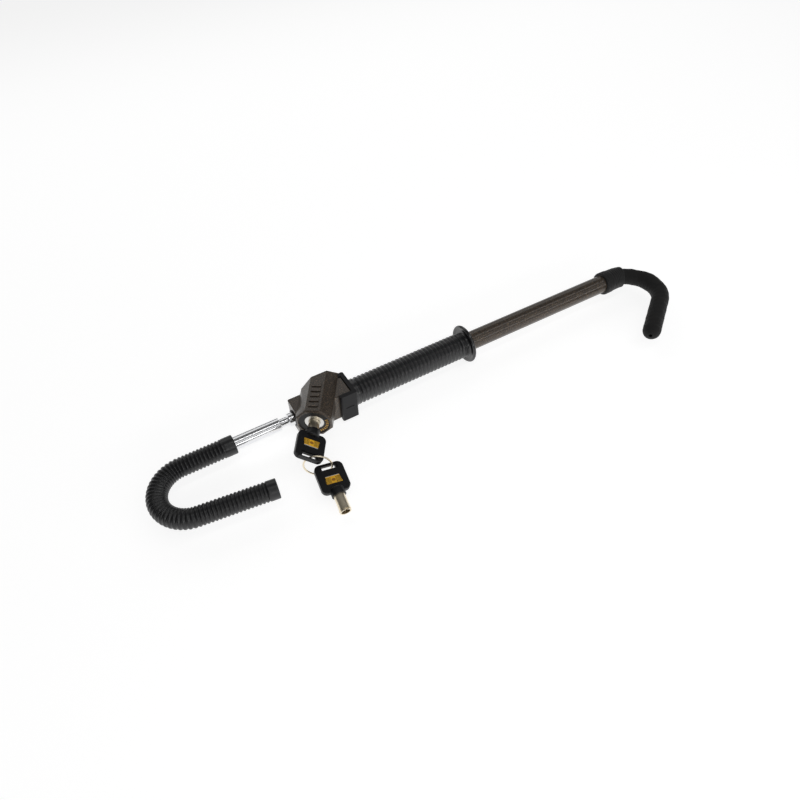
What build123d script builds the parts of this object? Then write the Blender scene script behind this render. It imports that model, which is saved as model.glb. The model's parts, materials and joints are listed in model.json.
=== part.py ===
from build123d import *
import math
import os

# Telescopic steering-wheel lock: a hooked steel rod slides and turns in a lock
# head on the end of a gripped tube, and a second hook closes the far end.
#
# Modelling axes: X runs along the rod from the pedal hook to the wheel hook,
# both hooks open towards -Y, +Z is up. X = 0 is where the lock axis passes over
# the rod. place() at the end moves everything onto the table it lies on.
# All sizes are in millimetres and degrees.

# ---- clearances ----
SLIP = 0.05              # radial running clearance of a shaft in its bore
GAP = 0.3                # gap between parts that must never rub
SEAT = 0.02              # radial clearance of a part pushed home and kept there

# ---- rod and its locking grooves ----
ROD_D = 12.7
NECK_D = 8.6             # diameter left at the bottom of a groove
GROOVE_FLAT = 6.8        # width of the groove's floor
GROOVE_FLARE = 1.05      # width of the bevel on each side of it
GROOVE_PITCH = 16.5
LOCKED_GROOVE_X = -2.7   # centre of the groove that the locking pin drops into
GROOVES_OUTSIDE = 2      # grooves between the locked one and the pedal hook
GROOVES_INSIDE = 12      # grooves beyond it, one for each longer setting
JOURNAL_D = 8.0          # reduced end that carries the guide bush
ROD_HOOK_X = -132.4      # where the pedal hook's bend starts
ROD_HOOK_R = 27.7        # to the centreline
ROD_HOOK_ANGLE = 172.7
ROD_LEG = 64.7           # straight beyond the bend

# ---- pedal hook sleeve ----
SLEEVE_OD = 17.8
SLEEVE_START_X = -83.2
SLEEVE_CAP = 3.0         # closed end beyond the rod

# ---- guide bush on the rod's inner end ----
BUSH_LENGTH = 12.0
BUSH_WALL = 1.4          # of the plastic bush at the block's mouth
WASHER_T = 1.5
WASHER_D = 14.0
END_SCREW_D = 4.0
END_SCREW_LENGTH = 14.0
END_SCREW_HEAD_D = 8.0
END_SCREW_HEAD_H = 3.0

# ---- lock head block ----
BLOCK_LEFT = -25.4
BLOCK_RIGHT = 29.1
BLOCK_WALL = 1.275       # beside the tube
BLOCK_Z = 30.0
BLOCK_EDGE = 0.8         # edge break of the casting
ROD_BORE_GAP = 0.45      # radial gap between the rod and the casting
SOCKET_DEPTH = 12.5      # how far the tube sits in the block

# ---- lock barrel housing ----
LOCK_YAW = 33.0          # lock axis, from -Y towards the pedal hook
LOCK_Z = 9.0             # lock axis above the rod axis
HOUSING_AF = 32.0        # octagon, across flats
HOUSING_FRONT = 27.5     # front face from the rod's vertical plane
HOUSING_BACK_Y = 15.6    # back face, parallel to the rod
HOUSING_RIM = 1.2        # bevel around the front face
RECESS_D = 28.4
RECESS_DEPTH = 2.5
POCKET_FLOOR = 13.0      # floor of the barrel pocket
SWEEP_FLOOR = 4.0        # floor of the space that the locking pin turns in
BADGE_BARS = 5           # plain raised bars on the top facet
BADGE_BAR = (3.8, 8.6, 0.8)
BADGE_PITCH = 6.0
BADGE_CENTRE = 8.0

# ---- barrel ----
BARREL_D = 17.8
BARREL_FACE = 26.0
PLUG_D = 13.4
PLUG_BACK = 13.2
PLUG_SHOULDER = 20.5
PLUG_POST_END = 25.6
LOCK_PIN_D = 4.0
LOCK_PIN_OFFSET = 4.2    # from the lock axis
LOCK_PIN_ANGLE = -40.0    # at rest, about the lock axis; -90 is locked
LOCK_PIN_TIP = 4.6
LOCK_PIN_SEAT = 16.0
TUMBLERS = 7
TUMBLER_D = 1.5
TUMBLER_LENGTH = 3.9
DIAL_T = 1.6
GRUB_D = 4.0
BARREL_GRUB_AT = 20.0

# ---- end cap and grip ----
CAP_PLATE_T = 4.0
CAP_FLAP_T = 4.2
CAP_FLAP_LEFT = 16.6
CAP_HEIGHT = 32.0
CAP_BACK_LIP = 3.4
CAP_SLIT = (8.5, 0.9, 0.8)
GRIP_OD = 26.0
GRIP_LENGTH = 132.0
FLANGE_D = 39.2
FLANGE_T = 4.4
GRIP_RING_D = 29.0
GRIP_RING_T = 2.0
GRIP_RINGS = 2

# ---- tube ----
TUBE_OD = 19.05
TUBE_WALL = 1.525
TUBE_LENGTH = 342.0
TUBE_GRUB_X = 23.0

# ---- wheel hook ----
HOOK_ROD_D = 12.7
HOOK_ROD_IN_TUBE = 60.6
HOOK_NECK = 3.5          # straight between the tube's end and the bend
HOOK_R = 29.6
HOOK_ANGLE = 144.2
HOOK_LEG = 53.3          # straight, to the centre of the round tip
HOOK_COVER_STEP = 0.525   # cover's outside below the tube's
FERRULE_LENGTH = 56.0
ROLL_PIN_D = 4.0
ROLL_PIN_FROM_END = 8.6
COLLAR_ON_TUBE = 14.0
COLLAR_OD = 24.2
COLLAR_ARC = 20.0        # how far the collar follows the bend
VENT_D = 3.4
VENT_DEPTH = 4.0

# ---- keys ----
KEY_ROLL = -30.0         # bow's plane about the lock axis, 0 is level
SHANK_OD = 10.0
SHANK_WALL = 1.05
SHANK_TIP = 20.7
SHANK_BEAD = 0.25        # height of the small bead near the tip
BOW_START = 40.0
BOW_W = 26.0
BOW_L = 28.0
BOW_T = 5.0
BOW_CORNER = 5.0
BOW_BOSS_WALL = 1.4
BOW_BOSS_L = 3.6          # boss on the shank, outside the bow
BOW_BOSS_IN = 4.2         # and over its flat, with a rounded end
BOW_BOSS_ROUND = 2.2
BOW_GRIP_ON_SHANK = 1.8
SLOT_FROM_END = 3.8
SLOT_L = 12.4
SLOT_W = 3.4
SLOT_RECESS = (16.0, 5.2, 1.1)   # shallow dish around the slot: length, width, depth
LABEL_W = 15.0
LABEL_L = 7.7
LABEL_T = 0.5
LABEL_FROM_START = 7.8
RING_R = 12.4            # split ring, to the wire's centre
RING_WIRE_D = 1.7
RING_SLOT_SHIFT = 2.2    # where the wire crosses the slot, from its middle
RING_LEAN = 38.0         # wire's slant through the slot, along it
RING_TWIST = -5.0        # and across it
SPARE_ON_RING = 53.0     # how far round the ring the spare key hangs
SPARE_SLOT_SHIFT = -3.7  # where the wire crosses the spare key's slot
SPARE_HEADING = 7.0      # spare key's shank, from -Y towards -X
SPARE_PITCH = 10.4       # ring end up
SPARE_ROLL = 10.0        # about its own length

# ---- sizes that follow from the ones above ----
first_groove_x = LOCKED_GROOVE_X - GROOVES_OUTSIDE * GROOVE_PITCH
groove_count = GROOVES_OUTSIDE + 1 + GROOVES_INSIDE
travel_out = GROOVES_INSIDE * GROOVE_PITCH
tube_start_x = BLOCK_RIGHT - SOCKET_DEPTH
grip_start_x = BLOCK_RIGHT + CAP_PLATE_T
shoulder_x = tube_start_x + travel_out + 4.0
washer_x = shoulder_x + BUSH_LENGTH + 2 * SLIP
rod_end_x = washer_x
rod_bore_d = ROD_D + 2 * ROD_BORE_GAP
rod_bush_od = ROD_D + 2 * (SLIP + BUSH_WALL)
tube_id = TUBE_OD - 2 * TUBE_WALL
tube_end_x = tube_start_x + TUBE_LENGTH
hook_cover_od = TUBE_OD - 2 * HOOK_COVER_STEP
hook_bend_x = tube_end_x + HOOK_NECK
roll_pin_x = tube_end_x - ROLL_PIN_FROM_END
collar_start_x = tube_end_x - COLLAR_ON_TUBE
hook_rod_start_x = tube_end_x - HOOK_ROD_IN_TUBE
block_y = TUBE_OD + 2 * BLOCK_WALL
shank_id = SHANK_OD - 2 * SHANK_WALL
shank_bead_d = SHANK_OD + 2 * SHANK_BEAD
bow_boss_d = SHANK_OD + 2 * BOW_BOSS_WALL
mouth_d = shank_bead_d + 2 * SLIP
plug_post_d = shank_id - 2 * (GAP + SLIP)
tumbler_circle_r = (SHANK_OD - SHANK_WALL) / 2

lock_plane = Plane(
    origin=(0, 0, LOCK_Z),
    x_dir=(math.cos(math.radians(LOCK_YAW)), -math.sin(math.radians(LOCK_YAW)), 0),
    z_dir=(-math.sin(math.radians(LOCK_YAW)), -math.cos(math.radians(LOCK_YAW)), 0),
)
roll = math.radians(KEY_ROLL)
key_plane = Plane(
    origin=lock_plane.origin,
    x_dir=lock_plane.x_dir * math.cos(roll) + lock_plane.y_dir * math.sin(roll),
    z_dir=lock_plane.z_dir,
)


def rod_x(x):
    """Plane across the rod at x, its normal along +X."""
    return Plane(origin=(x, 0, 0), x_dir=(0, 1, 0), z_dir=(1, 0, 0))


def bar(d, x0, x1):
    """Round bar along the rod axis."""
    return extrude(rod_x(x0) * Circle(d / 2), x1 - x0)


def ring(od, bore, x0, x1):
    """Round sleeve along the rod axis."""
    return extrude(rod_x(x0) * (Circle(od / 2) - Circle(bore / 2)), x1 - x0)


def lock_bar(d, t0, t1, x=0.0, y=0.0):
    """Round bar along the lock axis, between two distances from its origin."""
    return lock_plane * Pos(x, y, t0) * extrude(Circle(d / 2), t1 - t0)


# ---- rod, its sleeve and its inner end ----

def pedal_path(x0, leg):
    """Centreline of the rod from x0 round the pedal hook."""
    run = Line((x0, 0), (ROD_HOOK_X, 0))
    bend = CenterArc((ROD_HOOK_X, -ROD_HOOK_R), ROD_HOOK_R, 90, ROD_HOOK_ANGLE)
    free = Line(bend @ 1, bend @ 1 + (bend % 1) * leg)
    return Wire([run, bend, free])


def swept(path, outer_d, bore_d=0.0):
    """Round section carried along a path, hollow if it has a bore."""
    start = Plane(origin=path @ 0, z_dir=path % 0)
    solid = sweep(start * Circle(outer_d / 2), path)
    if bore_d:
        solid -= sweep(start * Circle(bore_d / 2), path)
    return solid


def groove_cutter(x):
    """Ring cutter for one locking groove, bevelled on both sides."""
    half = GROOVE_FLAT / 2
    neck, top = NECK_D / 2, ROD_D / 2 + 1.0
    flare = half + GROOVE_FLARE * (top - neck) / (ROD_D / 2 - neck)
    profile = Polyline((x - half, neck), (x + half, neck), (x + flare, top), (x - flare, top), close=True)
    return revolve(make_face(Plane.XY * profile), Axis.X)


def make_shackle_rod():
    rod = swept(pedal_path(0.0, ROD_LEG), ROD_D)
    rod += bar(ROD_D, 0.0, shoulder_x)
    rod += bar(JOURNAL_D, shoulder_x, rod_end_x)
    rod -= bar(END_SCREW_D + 2 * SEAT, rod_end_x - END_SCREW_LENGTH, rod_end_x)
    for k in range(groove_count):
        rod -= groove_cutter(first_groove_x + k * GROOVE_PITCH)
    return rod


def make_pedal_hook_sleeve():
    body = swept(pedal_path(SLEEVE_START_X, ROD_LEG + SLEEVE_CAP), SLEEVE_OD)
    return body - swept(pedal_path(SLEEVE_START_X, ROD_LEG), ROD_D + 2 * SEAT)


def make_rod_guide_bush():
    return ring(tube_id - 2 * SLIP, JOURNAL_D + 2 * SLIP, shoulder_x + SLIP, shoulder_x + SLIP + BUSH_LENGTH)


def make_rod_end_washer():
    return ring(WASHER_D, END_SCREW_D + 2 * SEAT, washer_x, washer_x + WASHER_T)


def make_rod_end_screw():
    head_x = washer_x + WASHER_T
    screw = bar(END_SCREW_D, rod_end_x - END_SCREW_LENGTH + 1.0, head_x)
    screw += bar(END_SCREW_HEAD_D, head_x, head_x + END_SCREW_HEAD_H)
    slot = Pos(head_x + END_SCREW_HEAD_H, 0, 0) * Box(2.4, END_SCREW_HEAD_D, 1.2)
    return screw - slot


# ---- lock head ----

def octagon_prism(across_flats, t0, t1):
    """Octagon along the lock axis with one flat on top."""
    outline = RegularPolygon(across_flats / 2, 8, major_radius=False, rotation=22.5)
    return lock_plane * Pos(0, 0, t0) * extrude(outline, t1 - t0)


def barrel_housing():
    """Octagonal barrel housing, bevelled in front and cut parallel to the rod behind."""
    rim = lock_plane * Pos(0, 0, HOUSING_FRONT - HOUSING_RIM) * extrude(
        RegularPolygon(HOUSING_AF / 2, 8, major_radius=False, rotation=22.5), HOUSING_RIM, taper=45
    )
    body = octagon_prism(HOUSING_AF, -60.0, HOUSING_FRONT - HOUSING_RIM) + rim
    behind = Pos(0, HOUSING_BACK_Y + 60, LOCK_Z) * Box(240, 120, 80)
    return body - behind


def badge():
    """Plain raised bars on the top facet, one after the other along the lock axis."""
    length, width, height = BADGE_BAR
    top = HOUSING_AF / 2
    bars = [
        lock_plane
        * Pos(0, top + height / 2, BADGE_CENTRE + (k - (BADGE_BARS - 1) / 2) * BADGE_PITCH)
        * Box(width, height + 0.4, length)
        for k in range(BADGE_BARS)
    ]
    return bars


def make_lock_housing():
    block = Pos((BLOCK_LEFT + BLOCK_RIGHT) / 2, 0, 0) * Box(BLOCK_RIGHT - BLOCK_LEFT, block_y, BLOCK_Z)
    block = chamfer(block.edges(), BLOCK_EDGE)
    housing = block + barrel_housing()
    for raised in badge():
        housing += raised
    housing -= bar(rod_bore_d, BLOCK_LEFT - HOUSING_AF, BLOCK_RIGHT + 1)
    housing -= bar(rod_bush_od + 2 * SEAT, BLOCK_LEFT - 1, BLOCK_LEFT + BUSH_LENGTH)
    housing -= bar(TUBE_OD + 2 * SEAT, tube_start_x, BLOCK_RIGHT + 1)
    housing -= lock_bar(RECESS_D, HOUSING_FRONT - RECESS_DEPTH, HOUSING_FRONT + 1)
    housing -= lock_bar(BARREL_D + 2 * SEAT, POCKET_FLOOR, HOUSING_FRONT)
    sweep_d = LOCK_PIN_D + 2 * LOCK_PIN_OFFSET + 2 * GAP
    housing -= lock_bar(sweep_d, SWEEP_FLOOR, POCKET_FLOOR + 1)
    housing -= grub_hole(barrel_grub_place(), HOUSING_AF)
    housing -= grub_hole(tube_grub_place(), BLOCK_Z)
    return housing


def make_rod_bush():
    bore = ROD_D + 2 * SLIP
    return ring(rod_bush_od, bore, BLOCK_LEFT - 1.0, BLOCK_LEFT + BUSH_LENGTH - SLIP)


# ---- grub screws, each driven upwards from below ----

def barrel_grub_place():
    """Tip of the grub screw that keeps the barrel in."""
    point = lock_plane.from_local_coords(Vector(0, -BARREL_D / 2 - SLIP, BARREL_GRUB_AT))
    return point, (LOCK_Z - HOUSING_AF / 2) + 0.6


def tube_grub_place():
    """Tip of the grub screw that keeps the tube in."""
    return Vector(TUBE_GRUB_X, 0, -TUBE_OD / 2 - SLIP), -BLOCK_Z / 2 + 0.6


def grub_hole(place, depth):
    tip, _ = place
    return Pos(tip.X, tip.Y, tip.Z - depth / 2) * Cylinder(GRUB_D / 2 + SEAT, depth)


def grub_screw(place):
    tip, low = place
    screw = Pos(tip.X, tip.Y, (tip.Z + low) / 2) * Cylinder(GRUB_D / 2, tip.Z - low)
    socket = Pos(tip.X, tip.Y, low) * extrude(RegularPolygon(1.0, 6), 1.6)
    return screw - socket


# ---- barrel ----

def make_dial_ring():
    floor = HOUSING_FRONT - RECESS_DEPTH
    dial = lock_bar(RECESS_D - 2 * SEAT, floor, floor + DIAL_T)
    return dial - lock_bar(BARREL_D + 2 * SEAT, floor - 1, HOUSING_FRONT)


def make_cylinder_body():
    body = lock_bar(BARREL_D, POCKET_FLOOR + SEAT, BARREL_FACE)
    body = chamfer(body.edges().filter_by(GeomType.CIRCLE), 0.3)
    body -= lock_bar(PLUG_D + 2 * SLIP, POCKET_FLOOR - 1, PLUG_SHOULDER + SLIP)
    return body - lock_bar(mouth_d, PLUG_SHOULDER, BARREL_FACE + 1)


def tumbler_holes():
    return [(tumbler_circle_r, 360.0 / TUMBLERS * k + 90.0) for k in range(TUMBLERS)]


def lock_pin_at():
    a = math.radians(LOCK_PIN_ANGLE)
    return LOCK_PIN_OFFSET * math.cos(a), LOCK_PIN_OFFSET * math.sin(a)


def make_cylinder_plug():
    plug = lock_bar(PLUG_D, PLUG_BACK, PLUG_SHOULDER) + lock_bar(plug_post_d, PLUG_SHOULDER, PLUG_POST_END)
    plug -= lock_bar(LOCK_PIN_D + 2 * SEAT, PLUG_BACK - 1, LOCK_PIN_SEAT, *lock_pin_at())
    for r, a in tumbler_holes():
        x, y = r * math.cos(math.radians(a)), r * math.sin(math.radians(a))
        depth = PLUG_SHOULDER - TUMBLER_LENGTH
        plug -= lock_bar(TUMBLER_D + 2 * SEAT, depth, PLUG_SHOULDER + 1, x, y)
    return plug


def make_tumbler_pin(k):
    r, a = tumbler_holes()[k]
    x, y = r * math.cos(math.radians(a)), r * math.sin(math.radians(a))
    back = PLUG_SHOULDER - TUMBLER_LENGTH
    return lock_bar(TUMBLER_D, back + SEAT, PLUG_SHOULDER - 0.1 - 0.3 * (k % 3), x, y)


def make_locking_pin():
    return lock_bar(LOCK_PIN_D, LOCK_PIN_TIP, LOCK_PIN_SEAT - SEAT, *lock_pin_at())


# ---- end cap, grip and tube ----

def make_end_cap():
    right = BLOCK_RIGHT + CAP_PLATE_T
    flap_y = -block_y / 2 - CAP_FLAP_T
    back_y = block_y / 2 + CAP_FLAP_T
    depth = back_y - flap_y
    shell = Pos((CAP_FLAP_LEFT + right) / 2, 0, 0) * Box(right - CAP_FLAP_LEFT, depth, CAP_HEIGHT)
    shell = fillet(shell.edges().filter_by(Axis.Z), 1.6)
    inside = Box(2 * (BLOCK_RIGHT - CAP_FLAP_LEFT), block_y + 2 * SEAT, CAP_HEIGHT + 2)
    shell -= Pos(CAP_FLAP_LEFT + SEAT, 0, 0) * inside
    lip_left = BLOCK_RIGHT - CAP_BACK_LIP
    shell -= Pos(lip_left - 30, block_y / 2 + 20, 0) * Box(60, 40, CAP_HEIGHT + 2)
    shell -= octagon_prism(HOUSING_AF + 2 * GAP, -60.0, HOUSING_FRONT)
    length, height, deep = CAP_SLIT
    slit_x = (CAP_FLAP_LEFT + right) / 2
    shell -= Pos(slit_x, flap_y, 0) * Box(length, 2 * deep, height)
    shell -= bar(TUBE_OD + 2 * SEAT, BLOCK_RIGHT - 1, right + 1)
    return shell


def make_grip():
    bore = TUBE_OD + 2 * SEAT
    end = grip_start_x + GRIP_LENGTH
    flange_x = end - FLANGE_T
    grip = ring(GRIP_OD, bore, grip_start_x, flange_x)
    rim = ring(FLANGE_D, bore, flange_x, end)
    grip += fillet(rim.edges().filter_by(GeomType.CIRCLE).sort_by(SortBy.RADIUS)[-2:], FLANGE_T / 2 - 0.3)
    for k in range(GRIP_RINGS):
        x = flange_x - 2.0 - (k + 1) * GRIP_RING_T * 1.5
        grip += ring(GRIP_RING_D, bore, x, x + GRIP_RING_T)
    return grip


def make_main_tube():
    tube = ring(TUBE_OD, tube_id, tube_start_x, tube_end_x)
    return tube - roll_pin_solid(2 * SEAT)


def roll_pin_solid(extra=0.0):
    return Pos(roll_pin_x, 0, 0) * Cylinder((ROLL_PIN_D + extra) / 2, TUBE_OD + 4)


# ---- wheel hook ----

def wheel_path(x0, leg):
    """Centreline of the hook bar from x0 round the wheel hook."""
    run = Line((x0, 0), (hook_bend_x, 0))
    bend = CenterArc((hook_bend_x, -HOOK_R), HOOK_R, 90, -HOOK_ANGLE)
    free = Line(bend @ 1, bend @ 1 + (bend % 1) * leg)
    return Wire([run, bend, free])


def make_hook_rod():
    rod = swept(wheel_path(hook_rod_start_x, HOOK_LEG - 1.0), HOOK_ROD_D)
    return rod - roll_pin_solid(2 * SEAT)


def make_hook_ferrule():
    end = tube_end_x - 0.6
    ferrule = ring(tube_id - 2 * SEAT, HOOK_ROD_D + 2 * SEAT, end - FERRULE_LENGTH, end)
    return ferrule - roll_pin_solid(2 * SEAT)


def make_hook_roll_pin():
    pin = Pos(roll_pin_x, 0, 0) * Cylinder(ROLL_PIN_D / 2, TUBE_OD - 0.6)
    return pin - Pos(roll_pin_x, 0, 0) * Cylinder(ROLL_PIN_D / 2 - 0.9, TUBE_OD)


def make_hook_cover():
    start = tube_end_x + SLIP
    path = wheel_path(start, HOOK_LEG)
    cover = swept(path, hook_cover_od) + Pos(path @ 1) * Sphere(hook_cover_od / 2)
    cover -= swept(wheel_path(start, HOOK_LEG - 1.0 + SEAT), HOOK_ROD_D + 2 * SEAT)
    tip = path @ 1 + (path % 1) * (hook_cover_od / 2)
    vent = Plane(origin=tip - (path % 1) * VENT_DEPTH, z_dir=path % 1)
    return cover - vent * extrude(Circle(VENT_D / 2), VENT_DEPTH + 1)


def collar_path():
    run = Line((collar_start_x, 0), (hook_bend_x, 0))
    return Wire([run, CenterArc((hook_bend_x, -HOOK_R), HOOK_R, 90, -COLLAR_ARC)])


def make_hook_collar():
    collar = swept(collar_path(), COLLAR_OD, hook_cover_od + 2 * SEAT)
    return collar - bar(TUBE_OD + 2 * SEAT, collar_start_x - 1, tube_end_x + SLIP)


# ---- keys, each drawn about its own shank axis: z runs from the tip to the bow's end ----

def shank():
    bow_end = BOW_START + BOW_GRIP_ON_SHANK
    tube = Pos(0, 0, SHANK_TIP) * extrude(Circle(SHANK_OD / 2) - Circle(shank_id / 2), bow_end - SHANK_TIP)
    bead = Pos(0, 0, SHANK_TIP + 1.2) * extrude(Circle(shank_bead_d / 2) - Circle(shank_id / 2 + 0.2), 1.2)
    nib = Pos(0, SHANK_OD / 2 - 0.5, SHANK_TIP + 0.6) * Box(1.6, 1.0, 1.2)
    return tube + bead - nib


def bow():
    start, end = BOW_START, BOW_START + BOW_L
    plate = Pos(0, 0, (start + end) / 2) * Box(BOW_W, BOW_T, BOW_L)
    plate = fillet(plate.edges().filter_by(Axis.Y), BOW_CORNER)
    plate = chamfer(plate.faces().filter_by(Axis.Y).edges(), 0.5)
    boss = extrude(Circle(bow_boss_d / 2), BOW_BOSS_L + BOW_BOSS_IN)
    boss = fillet(boss.edges().filter_by(GeomType.CIRCLE).sort_by(Axis.Z)[-1], BOW_BOSS_ROUND)
    plate += Pos(0, 0, start - BOW_BOSS_L) * boss
    plate -= Pos(0, 0, slot_z()) * Box(SLOT_L, bow_boss_d, SLOT_W)
    dish_l, dish_w, dish_d = SLOT_RECESS
    for side in (-1, 1):
        plate -= Pos(0, side * BOW_T / 2, slot_z()) * Box(dish_l, 2 * dish_d, dish_w)
    plate -= Pos(0, 0, start - BOW_BOSS_L - 1) * extrude(
        Circle(SHANK_OD / 2 + SEAT), BOW_BOSS_L + 1 + BOW_GRIP_ON_SHANK + SEAT
    )
    return plate - Pos(0, BOW_T / 2, label_z()) * Box(LABEL_W + 2 * SEAT, LABEL_T * 2, LABEL_L + 2 * SEAT)


def label_z():
    return BOW_START + LABEL_FROM_START + LABEL_L / 2


def label():
    return Pos(0, BOW_T / 2 - LABEL_T / 2, label_z()) * Box(LABEL_W, LABEL_T, LABEL_L)


def slot_z():
    return BOW_START + BOW_L - SLOT_FROM_END


def wire_plane():
    """Across the ring's wire where it crosses the key's slot; x points at the ring's centre."""
    lean, twist = math.radians(RING_LEAN), math.radians(RING_TWIST)
    wire = (
        key_plane.y_dir * math.cos(lean) * math.cos(twist)
        + key_plane.x_dir * math.sin(lean) * math.cos(twist)
        + key_plane.z_dir * math.sin(twist)
    )
    at = key_plane.from_local_coords(Vector(RING_SLOT_SHIFT, 0, slot_z()))
    return Plane(origin=at, x_dir=wire.cross(key_plane.z_dir), z_dir=wire)


def ring_plane():
    """Split ring's own plane: x points away from the key's slot, y along its wire there."""
    wire = wire_plane()
    centre = wire.origin + wire.x_dir * RING_R
    return Plane(origin=centre, x_dir=wire.x_dir, z_dir=wire.x_dir.cross(wire.z_dir))


def make_split_ring():
    return ring_plane() * Torus(RING_R, RING_WIRE_D / 2)


def spare_hang():
    """Where the ring's wire crosses the spare key's slot, and the wire's direction there."""
    a = math.radians(SPARE_ON_RING)
    ring_at = ring_plane()
    at = ring_at.origin + (ring_at.x_dir * math.cos(a) + ring_at.y_dir * math.sin(a)) * RING_R
    return at, ring_at.x_dir * -math.sin(a) + ring_at.y_dir * math.cos(a)


def spare_plane():
    """Axes of the spare key, hung on the ring with its shank resting on the table."""
    at, _ = spare_hang()
    head, pitch, lean = (math.radians(v) for v in (SPARE_HEADING, SPARE_PITCH, SPARE_ROLL))
    along = Vector(math.sin(head) * math.cos(pitch), math.cos(head) * math.cos(pitch), math.sin(pitch))
    level = Vector(-math.cos(head), math.sin(head), 0)
    across = level * math.cos(lean) + along.cross(level) * math.sin(lean)
    return Plane(origin=at - across * SPARE_SLOT_SHIFT - along * slot_z(), x_dir=across, z_dir=along)


# ---- the whole lock ----

def build_parts():
    parts = {
        "lock_housing": make_lock_housing(),
        "rod_bush": make_rod_bush(),
        "dial_ring": make_dial_ring(),
        "cylinder_body": make_cylinder_body(),
        "barrel_grub_screw": grub_screw(barrel_grub_place()),
        "tube_grub_screw": grub_screw(tube_grub_place()),
        "end_cap": make_end_cap(),
        "grip": make_grip(),
        "main_tube": make_main_tube(),
        "hook_rod": make_hook_rod(),
        "hook_ferrule": make_hook_ferrule(),
        "hook_roll_pin": make_hook_roll_pin(),
        "hook_cover": make_hook_cover(),
        "hook_collar": make_hook_collar(),
        "rod_guide_bush": make_rod_guide_bush(),
        "shackle_rod": make_shackle_rod(),
        "pedal_hook_sleeve": make_pedal_hook_sleeve(),
        "rod_end_washer": make_rod_end_washer(),
        "rod_end_screw": make_rod_end_screw(),
        "cylinder_plug": make_cylinder_plug(),
        "locking_pin": make_locking_pin(),
        "key_shank": key_plane * shank(),
        "key_bow": key_plane * bow(),
        "key_label": key_plane * label(),
        "split_ring": make_split_ring(),
        "spare_key_shank": spare_plane() * shank(),
        "spare_key_bow": spare_plane() * bow(),
        "spare_key_label": spare_plane() * label(),
    }
    for k in range(TUMBLERS):
        parts[f"tumbler_pin_{k + 1}"] = make_tumbler_pin(k)
    return parts


def place(parts):
    """Move the lock so that the origin is on the table, under the middle of its outline."""
    box = Compound(list(parts.values())).bounding_box()
    shift = Vector(-box.center().X, -box.center().Y, -box.min.Z)
    print("moved by", tuple(round(v, 4) for v in shift))
    return {name: Pos(*shift) * solid for name, solid in parts.items()}, shift


def report(shift):
    """Print the joint places, in millimetres, in the placed axes."""
    def show(name, point, axis):
        at = Vector(*point) + shift
        print(name, [round(v, 4) for v in at], "axis", [round(v, 6) for v in Vector(*axis)])

    show("rod axis", (0, 0, 0), (1, 0, 0))
    show("lock axis", lock_plane.origin, lock_plane.z_dir)
    show("ring hinge", wire_plane().origin, wire_plane().z_dir)
    at, along = spare_hang()
    show("spare hinge", at, along)
    print("rod travel", travel_out, "groove pitch", GROOVE_PITCH)


if __name__ == "__main__":
    os.makedirs("parts", exist_ok=True)
    placed, shift = place(build_parts())
    for name, solid in placed.items():
        export_step(solid, f"parts/{name}.step")
    report(shift)
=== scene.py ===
# %% [markdown]
# # Telescopic steering wheel lock
# A steel rod with a sleeved hook slides out of a lock head on a gripped tube, and a padded
# hook closes the other end. The mechanical model is already built. It is loaded first, as a
# frame that nothing here may move. This lesson then gives every part its look: soft parts get
# finer meshes, and each surface gets a material made of nodes.

import json
import math

import bmesh
import bpy
from mathutils import Matrix, Vector


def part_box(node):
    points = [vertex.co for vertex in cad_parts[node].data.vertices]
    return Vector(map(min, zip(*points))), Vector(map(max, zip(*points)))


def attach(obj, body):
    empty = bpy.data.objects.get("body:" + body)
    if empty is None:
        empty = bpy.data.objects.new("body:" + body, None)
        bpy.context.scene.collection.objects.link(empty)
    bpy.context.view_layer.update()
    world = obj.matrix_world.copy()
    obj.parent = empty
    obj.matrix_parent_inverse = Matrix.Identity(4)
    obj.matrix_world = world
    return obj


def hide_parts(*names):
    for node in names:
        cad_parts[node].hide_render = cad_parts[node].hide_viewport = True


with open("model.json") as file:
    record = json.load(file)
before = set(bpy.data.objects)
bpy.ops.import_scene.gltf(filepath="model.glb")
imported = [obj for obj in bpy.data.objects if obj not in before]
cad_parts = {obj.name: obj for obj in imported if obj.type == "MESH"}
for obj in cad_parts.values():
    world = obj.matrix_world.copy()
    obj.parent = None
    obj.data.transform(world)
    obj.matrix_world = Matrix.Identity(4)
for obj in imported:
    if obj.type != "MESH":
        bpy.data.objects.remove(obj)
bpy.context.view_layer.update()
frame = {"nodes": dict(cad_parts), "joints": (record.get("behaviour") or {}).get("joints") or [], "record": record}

# %% [markdown]
# ## Sizes and axes
# Everything is in metres. The rod, the tube and the grip share one axis along X, read from
# the tube's own box. The lock barrel points forward and towards the pedal hook, and the key's
# flat bow is rolled about that barrel axis. A small record of three directions and an origin
# is enough to place anything that belongs to a key.

# %% Axes of the rod, the barrel and the two keys
MM = 0.001
SLOT_FROM_TIP = 64.2 * MM   # key slot's place along a key, in the key's own lengths
LABEL_AT = 51.65 * MM
BOW_HALF = 2.5 * MM


class Axes:
    """An origin with three directions: x across, y up, z along."""

    def __init__(self, origin, x, z):
        self.origin = Vector(origin)
        self.x = Vector(x).normalized()
        self.z = Vector(z).normalized()
        self.y = self.z.cross(self.x)

    def at(self, x, y, z):
        return self.origin + self.x * x + self.y * y + self.z * z


def joint(name):
    return next(j for j in frame["joints"] if j["name"] == name)


tube_lo, tube_hi = (Vector(c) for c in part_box("main_tube"))
rod_y, rod_z = (tube_lo.y + tube_hi.y) / 2, (tube_lo.z + tube_hi.z) / 2
turn = joint("plug_turn")
forward = -Vector(turn["axis"])
level = Vector((-forward.y, forward.x, 0))
barrel = Axes(turn["pos_m"], level, forward)
roll = math.radians(-30)
key = Axes(barrel.origin, barrel.x * math.cos(roll) + barrel.y * math.sin(roll), forward)


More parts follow.
